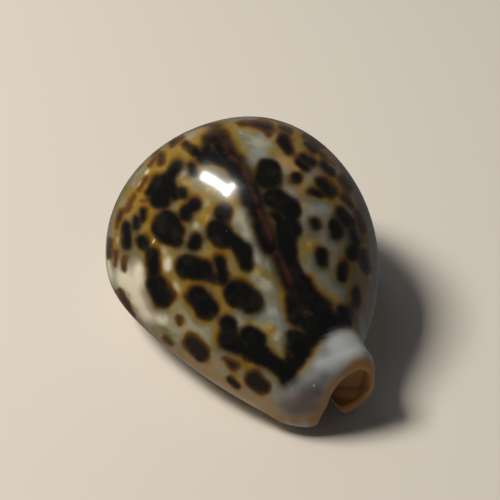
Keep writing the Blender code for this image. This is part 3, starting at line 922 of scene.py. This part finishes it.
# Scales of the noises, on places in metres: a higher one is finer
CLOUD_SCALE = 120.0
FINE_SCALE = 380.0
STREAK_SCALE = 230.0
STREAK_STRETCH = (0.55, 1.0, 1.0)
GROUND_ROUGHNESS = 0.5
BROAD_SCALE = 150.0
WOBBLE_SCALE = 430.0
PATCHY_SCALE = 260.0
STRENGTH_SCALE = 95.0
END_CLOUD_SCALE = 230.0
CALLUS_SCALE = 70.0

BROAD_SHAKE = 2.2  # how far the noises move a mark's edge, in millimetres
WOBBLE_SHAKE = 0.8
LINE_SHAKE = 0.6  # share of that for the mantle line
WHITE_DULLING = -0.6  # how much weaker the golden halos are on white
ASIDE_DULLING = -0.25  # and on the inner lip's side
HALO_LEAST = 0.2  # share of the deep halo that is on every black spot
MARGIN_STRENGTH = 0.85  # how far the margins' tints cover the ground
CLEAR_OF_SPOTS = (-0.3, 0.7)  # distances from a spot's edge between which they set in

# Noise levels between which the second of two colours takes over
RICH_STEP = (0.40, 0.60)
STRENGTH_STEP = (0.38, 0.60)
BLACK_STEP = (0.48, 0.72)
LINE_STEP = (0.30, 0.65)
TAN_STEP = (0.35, 0.65)
CALLUS_STEP = (0.38, 0.66)

GLOSS = {
    "Roughness": 0.15,
    "Specular IOR Level": 0.32,
    "Coat Weight": 0.15,
    "Coat Roughness": 0.05,
}


def set_inputs(node, values):
    """Set the sockets that don't vary over a surface."""
    for name, value in values.items():
        node.inputs[name].default_value = value


class Graph:
    """Short ways to add the nodes that the shell's material is made of."""

    def __init__(self, tree):
        self.tree = tree
        self.coords = tree.nodes.new("ShaderNodeTexCoord").outputs["Object"]

    def connect(self, value, socket):
        if isinstance(value, bpy.types.NodeSocket):
            self.tree.links.new(value, socket)
        else:
            socket.default_value = (*value, 1.0) if isinstance(value, tuple) else value

    def field(self, name):
        node = self.tree.nodes.new("ShaderNodeAttribute")
        node.attribute_name = name
        return node.outputs["Fac"]

    def noise(self, scale, detail=3.0, roughness=0.55, stretch=None):
        node = self.tree.nodes.new("ShaderNodeTexNoise")
        set_inputs(node, {"Scale": scale, "Detail": detail, "Roughness": roughness})
        place = self.coords
        if stretch:
            mapping = self.tree.nodes.new("ShaderNodeMapping")
            set_inputs(mapping, {"Scale": stretch})
            self.tree.links.new(place, mapping.inputs["Vector"])
            place = mapping.outputs["Vector"]
        self.tree.links.new(place, node.inputs["Vector"])
        return node.outputs["Fac"]

    def math(self, kind, first, second):
        node = self.tree.nodes.new("ShaderNodeMath")
        node.operation = kind
        self.connect(first, node.inputs[0])
        self.connect(second, node.inputs[1])
        return node.outputs[0]

    def add(self, first, second):
        return self.math("ADD", first, second)

    def times(self, first, second):
        return self.math("MULTIPLY", first, second)

    def spread(self, noise, reach):
        """A noise from 0 to 1 made to swing about 0, over this much in all."""
        return self.times(self.add(noise, -0.5), reach)

    def step(self, value, low, high):
        """Smooth step from 0 at low to 1 at high, or down if low is above high."""
        node = self.tree.nodes.new("ShaderNodeMapRange")
        node.interpolation_type = "SMOOTHSTEP"
        first, last = (0.0, 1.0) if low < high else (1.0, 0.0)
        set_inputs(node, {"From Min": min(low, high), "From Max": max(low, high)})
        set_inputs(node, {"To Min": first, "To Max": last})
        self.connect(value, node.inputs["Value"])
        return node.outputs["Result"]

    def mix(self, share, first, second):
        node = self.tree.nodes.new("ShaderNodeMix")
        node.data_type = "RGBA"
        self.connect(share, node.inputs[0])
        self.connect(first, node.inputs[6])
        self.connect(second, node.inputs[7])
        return node.outputs[2]

    def over(self, base, layers):
        """Colours laid over a base in turn, each by its share and its greatest strength."""
        for share, strength, colour in layers:
            base = self.mix(self.times(share, strength), base, colour)
        return base


def ground_colour(g):
    """The ground under the spots: grey to cream, clouded with blue, olive and yellow, its pale
    darkened by painted shade.
    """
    cloud = g.noise(CLOUD_SCALE, roughness=GROUND_ROUGHNESS)
    fine = g.noise(FINE_SCALE, roughness=GROUND_ROUGHNESS)
    streaks = g.noise(STREAK_SCALE, roughness=GROUND_ROUGHNESS, stretch=STREAK_STRETCH)
    aside = g.field("aside")
    grey = g.mix(aside, GREY, GREY_RIGHT)
    blue = g.mix(aside, BLUE, BLUE_RIGHT)
    olive = g.mix(aside, OLIVE, OLIVE_RIGHT)
    light = g.mix(aside, PALE_WITH_PAINTED_SHADE, PALE_RIGHT_WITH_PAINTED_SHADE)
    rich = g.mix(g.step(fine, *RICH_STEP), GOLD, YELLOW)
    base = g.over(grey, (
        (g.step(cloud, 0.38, 0.62), 1.0, blue),
        (g.step(streaks, 0.45, 0.65), 0.7, olive),
        (g.step(fine, 0.45, 0.70), 0.35, light),
        (g.field("blue"), g.step(cloud, 0.30, 0.55), blue),
    ))
    # Patches whose edges a noise breaks up: its reach, the step they set in by, strength
    for name, noise, reach, step, strength, colour in (
        ("warm", streaks, 1.6, (0.00, 0.80), 0.85, olive),
        ("pale_with_painted_shade", fine, 1.2, (0.15, 0.95), 1.0, light),
        ("white", cloud, 0.3, (0.15, 0.80), 1.0, WHITE),
        ("yellow", streaks, 1.4, (0.20, 0.95), 0.85, rich),
    ):
        weight = g.add(g.field(name), g.spread(noise, reach))
        base = g.mix(g.times(g.step(weight, *step), strength), base, colour)
    return base


def marked_colour(g, base):
    """Halos, hazes, spots and the mantle line over the ground."""
    broad = g.spread(g.noise(BROAD_SCALE, 1.0), BROAD_SHAKE)
    wobble = g.spread(g.noise(WOBBLE_SCALE, 1.0), WOBBLE_SHAKE)
    shake = g.add(broad, wobble)
    patchy = g.noise(PATCHY_SCALE, 2.0)
    haze = g.add(g.field("haze"), shake)
    halo = g.add(g.field("halo"), shake)
    brown = g.add(g.field("brown_spot"), shake)
    spot = g.add(g.field("spot"), shake)
    line = g.add(g.field("mantle"), g.times(shake, LINE_SHAKE))
    strength = g.step(g.noise(STRENGTH_SCALE, 1.0), *STRENGTH_STEP)
    white = g.times(g.field("white"), WHITE_DULLING)
    dulled = g.add(white, g.times(g.field("aside"), ASIDE_DULLING))
    tint = g.times(strength, g.math("MAXIMUM", g.add(1.0, dulled), 0.0))
    deep = g.add(HALO_LEAST, g.times(strength, 1.0 - HALO_LEAST))
    inner = g.mix(g.step(patchy, *BLACK_STEP), BLACK, NEAR_BLACK)
    # painted reflection of a warm floor browns the spots low on the sides
    inner = g.mix(g.field("low"), inner, LOW_SPOT_REFLECTION)
    # The distance that a layer follows, where it starts and where it is full, its strength
    for distance, start, full, most, colour in (
        (haze, 1.8, -0.2, 0.75, HAZE),
        (halo, 4.0, 0.8, g.times(tint, 0.80), OLIVE),
        (halo, 2.6, 0.3, g.times(tint, 0.80), GOLD),
        (halo, 1.40, -0.10, deep, HALO_DEEP),
        (brown, 1.8, 0.2, g.times(tint, 0.6), GOLD),
        (brown, 0.80, -0.20, 1.0, HALO_DEEP),
        (brown, 0.40, -0.60, 1.0, BROWN),
        (brown, 0.05, -1.10, 1.0, DARK_BROWN),
        (line, 4.2, 1.0, 0.85, NEAR_BLACK),
        (spot, 1.15, -0.45, 1.0, EDGE_BROWN),
        (spot, 0.70, -0.85, 1.0, inner),
        (line, 1.2, -0.4, g.step(patchy, *LINE_STEP), LINE_RED),
    ):
        base = g.mix(g.times(g.step(distance, start, full), most), base, colour)
    return base


def ends_colour(g, base):
    """Tan margins with painted reflection, white base, the whitish front end with painted shade, the
    brown rims and canals, the inside, painted glow and glints.
    """
    cloud = g.noise(END_CLOUD_SCALE)
    spotted = g.math("MINIMUM", g.field("spot"), g.field("brown_spot"))
    clear = g.step(spotted, *CLEAR_OF_SPOTS)
    # the margins' tan, partly painted reflection of a warm floor
    tan_and_reflection = g.mix(g.step(cloud, *TAN_STEP), MARGIN_TAN_AND_REFLECTION, PALE_WITH_PAINTED_SHADE)
    callus = g.mix(g.step(g.noise(CALLUS_SCALE, 4.0), *CALLUS_STEP), UNDER_WHITE, UNDER_CREAM)
    snout = g.over(SNOUT_WHITE_WITH_PAINTED_SHADE, (
        (g.step(cloud, 0.40, 0.75), 0.15, SNOUT_TAN),
        (g.field("painted_shade_patch"), 0.6, PAINTED_SHADE_GREY),
        (g.field("lobe_brown_and_shade"), 0.8, LOBE_BROWN_AND_SHADE),
    ))
    rim = g.add(g.field("rim"), g.spread(cloud, 1.0))
    return g.over(base, (
        (g.times(g.field("low"), clear), MARGIN_STRENGTH, tan_and_reflection),
        (g.times(g.field("low_inner"), clear), MARGIN_STRENGTH, MARGIN_BROWN),
        (g.times(g.field("edge"), clear), MARGIN_STRENGTH, EDGE_TAN_AND_REFLECTION),
        (g.times(g.field("tan_and_reflection"), clear), MARGIN_STRENGTH, MARGIN_TAN_AND_REFLECTION),
        (g.field("under"), 1.0, callus),
        (g.field("front"), 1.0, snout),
        (g.field("inside"), 1.0, g.mix(g.field("canal"), INSIDE, CANAL)),
        (g.step(rim, 3.2, 0.8), 0.9, RIM_BROWN),
        (g.field("orange_rim_and_glow"), 0.8, ORANGE_AND_GLOW),
        (g.step(g.field("scratch_and_glint"), 0.10, -0.15), 1.0, SCRATCH_AND_GLINT_WHITE),
    ))


def new_material(name):
    material = bpy.data.materials.new(name)
    material.use_nodes = True
    tree = material.node_tree
    return material, tree, tree.nodes["Principled BSDF"]


def shell_material():
    material, tree, principled = new_material("shell")
    g = Graph(tree)
    colour = ends_colour(g, marked_colour(g, ground_colour(g)))
    tree.links.new(colour, principled.inputs["Base Color"])
    set_inputs(principled, GLOSS)
    return material


def outward_normals(mesh, points):
    """Normals of the vertices, once the faces are turned to look outwards."""
    normals = np.zeros(len(mesh.vertices) * 3, np.float32)
    mesh.vertex_normals.foreach_get("vector", normals)
    normals = normals.reshape(-1, 3).astype(float)
    crest = int(np.argmax(points[:, 2]))
    if normals[crest, 2] < 0.0:
        mesh.flip_normals()
        normals = -normals
    return normals


def make_shell():
    rings = sized(shell_rings())
    points, faces, outer = shell_surface(rings)
    corners = [tuple(p) for p in points]
    mesh = bpy.data.meshes.new("shell_surface")
    mesh.from_pydata(corners, [], faces)
    mesh.update()
    normals = outward_normals(mesh, points)
    tree = BVHTree.FromPolygons(corners, [tuple(f.vertices) for f in mesh.polygons])
    fields = mark_fields(tree, points, normals, outer)
    fields.update(region_fields(rings, points, normals, outer))
    for name, values in fields.items():
        attribute = mesh.attributes.new(name, "FLOAT", "POINT")
        attribute.data.foreach_set("value", np.asarray(values, np.float32))
    mesh.transform(Matrix.Scale(MM, 4))
    mesh.shade_smooth()
    mesh.materials.append(shell_material())
    shell = add_object("cowrie_shell", mesh)
    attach(shell, "root")
    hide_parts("shell")


FLOOR_LOOK = {"Base Color": (0.56, 0.515, 0.45, 1.0), "Roughness": 0.85}
FLOOR_REACH = 3.0
FLOOR_GAP = 0.0002  # the floor lies this far below the shell, in metres


def make_floor():
    low, high = -FLOOR_REACH, FLOOR_REACH
    mesh = bpy.data.meshes.new("floor")
    corners = [(low, low, 0), (high, low, 0), (high, high, 0), (low, high, 0)]
    mesh.from_pydata(corners, [], [(0, 1, 2, 3)])
    material, _, principled = new_material("floor")
    set_inputs(principled, FLOOR_LOOK)
    mesh.materials.append(material)
    floor = add_object("floor", mesh)
    floor.location.z = -FLOOR_GAP
    floor.visible_glossy = False


AIR = {"Color": (0.80, 0.84, 0.90, 1.0), "Strength": 0.10}
DAYLIGHT = (1.0, 0.98, 0.95)
SKY_LIGHT = (0.75, 0.85, 1.0)
WARM_LIGHT = (1.0, 0.96, 0.90)
WINDOW_WAY = (-66.0, 67.0)  # azimuth and elevation that the window shines from
SOFTBOX_WAY = (-30.0, 57.0)


def make_world():
    world = bpy.data.worlds.new("studio")
    world.use_nodes = True
    set_inputs(world.node_tree.nodes["Background"], AIR)
    bpy.context.scene.world = world
    bpy.context.scene.view_settings.view_transform = "Standard"


def add_light(name, way, distance, size, power, colour, mirrored, offset):
    """Lamp facing the shell's middle: one that only shines in the gloss, or only lights."""
    lamp = bpy.data.lights.new(name, "AREA")
    lamp.shape = "RECTANGLE"
    lamp.size, lamp.size_y = size
    lamp.energy = power
    lamp.color = colour
    light = add_object(name, lamp)
    back = Vector(direction(*way))
    turn = (-back).to_track_quat("-Z", "Y")
    light.location = Vector(TARGET * MM) + back * distance + turn @ Vector((*offset, 0.0))
    light.rotation_euler = turn.to_euler()
    light.visible_glossy = mirrored
    light.visible_diffuse = not mirrored


# Lamps: name, way, distance and size in metres, watts, colour, whether the gloss mirrors
# it instead of its light falling on things, and how far it is moved sideways and up
LAMPS = (
    ("window", WINDOW_WAY, 0.75, (0.085, 0.23), 2.9, DAYLIGHT, True, (-0.005, -0.015)),
    ("window_top", WINDOW_WAY, 0.75, (0.155, 0.045), 1.1, DAYLIGHT, True, (-0.02, 0.115)),
    ("window_glow", WINDOW_WAY, 0.80, (0.34, 0.42), 0.6, SKY_LIGHT, True, (0.0, 0.0)),
    ("side_softbox", SOFTBOX_WAY, 0.9, (0.28, 0.28), 11.0, WARM_LIGHT, False, (0.0, 0.0)),
)


make_shell()
make_floor()
make_world()
for lamp_values in LAMPS:
    add_light(*lamp_values)
